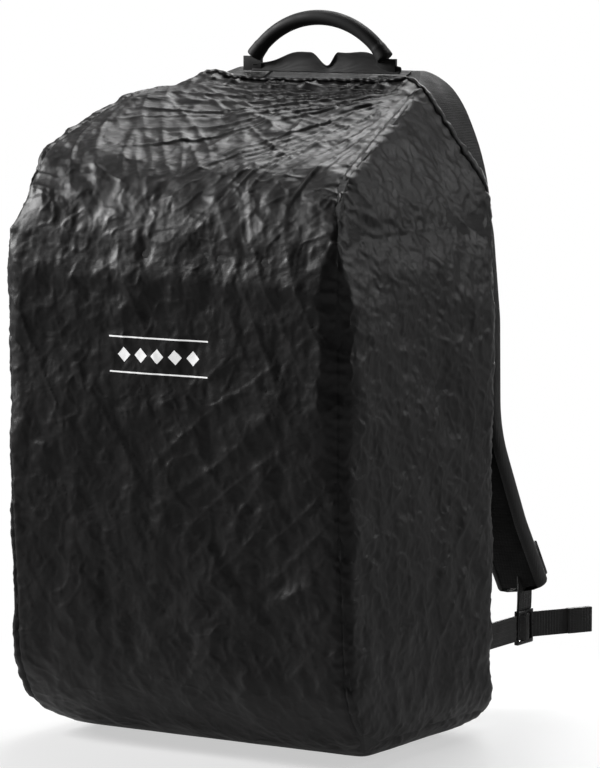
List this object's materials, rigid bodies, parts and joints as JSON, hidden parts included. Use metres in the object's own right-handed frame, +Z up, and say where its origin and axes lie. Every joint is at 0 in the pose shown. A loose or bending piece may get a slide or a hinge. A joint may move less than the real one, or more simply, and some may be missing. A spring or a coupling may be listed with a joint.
{
  "type": "photo backpack with rain cover",
  "caption": "Upright photo backpack in a crinkled stretch-hem rain cover, with a rear camera door, padded harness and moulded grab handle.",
  "frame": {"origin": "on the ground at the middle of the width, 125 mm in front of the back face", "axes": "+Z up, +Y towards the harness side, -Y the front"},
  "size_m": [0.3, 0.388, 0.5435],
  "materials": {
    "cover_nylon": "thin crinkled coated nylon",
    "pack_fabric": "matte ballistic weave",
    "harness_mesh": "padded air mesh",
    "webbing": "woven nylon webbing",
    "divider_fabric": "brushed loop lining over foam",
    "buckle_plastic": "moulded acetal, fine texture",
    "grip_rubber": "smooth matte moulded grip",
    "frame_plastic": "polyethylene sheet",
    "stay_metal": "mill finish",
    "zip_coil": "nylon coil zip",
    "zip_metal": "black enamelled zinc"
  },
  "bodies": {
    "pack": {"cover_front": "cover_nylon", "cover_base": "cover_nylon", "cover_gusset_left": "cover_nylon", "cover_gusset_right": "cover_nylon", "cover_hem": "cover_nylon", "base_wall": "pack_fabric", "back_frame": "pack_fabric", "top_wall": "pack_fabric", "front_wall": "pack_fabric", "front_pocket": "pack_fabric", "side_wall_left": "pack_fabric", "side_wall_right": "pack_fabric", "handle_anchor_left": "webbing", "handle_anchor_right": "webbing", "bulkhead": "divider_fabric", "divider_long_left": "divider_fabric", "divider_long_right": "divider_fabric", "divider_short_left_1": "divider_fabric", "divider_short_left_2": "divider_fabric", "divider_short_centre_1": "divider_fabric", "divider_short_right_1": "divider_fabric", "divider_short_right_2": "divider_fabric"},
    "handle": {"handle_grip": "grip_rubber", "handle_tab_left": "webbing", "handle_tab_right": "webbing"},
    "door": {"door_panel": "pack_fabric", "frame_sheet": "frame_plastic", "stay_left": "stay_metal", "stay_right": "stay_metal", "door_liner": "divider_fabric", "back_pad_left": "harness_mesh", "back_pad_right": "harness_mesh", "lumbar_pad": "harness_mesh", "yoke": "pack_fabric", "anchor_wing_left": "pack_fabric", "anchor_wing_right": "pack_fabric", "zip_chain": "zip_coil"},
    "strap_left": {"strap_pad_left": "harness_mesh", "strap_webbing_left": "webbing", "ladder_lock_left": "buckle_plastic", "strap_tab_left": "webbing", "lower_webbing_left": "webbing", "strap_tail_left": "webbing"},
    "chest_slider_left": {"sternum_slider_left": "buckle_plastic"},
    "chest_drop_left": {"sternum_webbing_left": "webbing", "sternum_buckle_left": "buckle_plastic"},
    "slider_left": {"zip_slider_left": "zip_metal"},
    "pull_left": {"zip_pull_left": "zip_metal"},
    "strap_right": {"strap_pad_right": "harness_mesh", "strap_webbing_right": "webbing", "ladder_lock_right": "buckle_plastic", "strap_tab_right": "webbing", "lower_webbing_right": "webbing", "strap_tail_right": "webbing"},
    "chest_slider_right": {"sternum_slider_right": "buckle_plastic"},
    "chest_drop_right": {"sternum_webbing_right": "webbing", "sternum_buckle_right": "buckle_plastic"},
    "slider_right": {"zip_slider_right": "zip_metal"},
    "pull_right": {"zip_pull_right": "zip_metal"}
  },
  "joints": [
    {"name": "handle_fold", "type": "hinge", "parent": "pack", "child": "handle", "pos_m": [0, 0.09, 0.497], "axis": [1, 0, 0], "range_deg": [-45, 65], "stiffness_Nm_per_rad": 0.05},
    {"name": "door_open", "type": "hinge", "parent": "pack", "child": "door", "pos_m": [0, 0.1234, 0.45], "axis": [1, 0, 0], "range_deg": [0, 72]},
    {"name": "strap_swing_left", "type": "hinge", "parent": "door", "child": "strap_left", "pos_m": [-0.055, 0.1395, 0.446], "axis": [1, 0, 0], "range_deg": [0, 12]},
    {"name": "chest_slide_left", "type": "slide", "parent": "strap_left", "child": "chest_slider_left", "axis": [0.1636, 0.1322, 0.9776], "range_m": [0, 0.04]},
    {"name": "chest_swing_left", "type": "hinge", "parent": "chest_slider_left", "child": "chest_drop_left", "pos_m": [-0.08718, 0.17597, 0.25367], "axis": [0.9863, 0, -0.165], "range_deg": [0, 90]},
    {"name": "zip_slide_left", "type": "slide", "parent": "door", "child": "slider_left", "axis": [-1, 0, 0], "range_m": [0, 0.055]},
    {"name": "zip_pull_left", "type": "hinge", "parent": "slider_left", "child": "pull_left", "pos_m": [-0.009, 0.1294, 0.064], "axis": [1, 0, 0], "range_deg": [-5, 120]},
    {"name": "strap_swing_right", "type": "hinge", "parent": "door", "child": "strap_right", "pos_m": [0.055, 0.1395, 0.446], "axis": [1, 0, 0], "range_deg": [0, 12]},
    {"name": "chest_slide_right", "type": "slide", "parent": "strap_right", "child": "chest_slider_right", "axis": [-0.1636, 0.1322, 0.9776], "range_m": [0, 0.04]},
    {"name": "chest_swing_right", "type": "hinge", "parent": "chest_slider_right", "child": "chest_drop_right", "pos_m": [0.08718, 0.17597, 0.25367], "axis": [0.9863, 0, 0.165], "range_deg": [0, 90]},
    {"name": "zip_slide_right", "type": "slide", "parent": "door", "child": "slider_right", "axis": [1, 0, 0], "range_m": [0, 0.055]},
    {"name": "zip_pull_right", "type": "hinge", "parent": "slider_right", "child": "pull_right", "pos_m": [0.009, 0.1294, 0.064], "axis": [1, 0, 0], "range_deg": [-5, 120]}
  ]
}
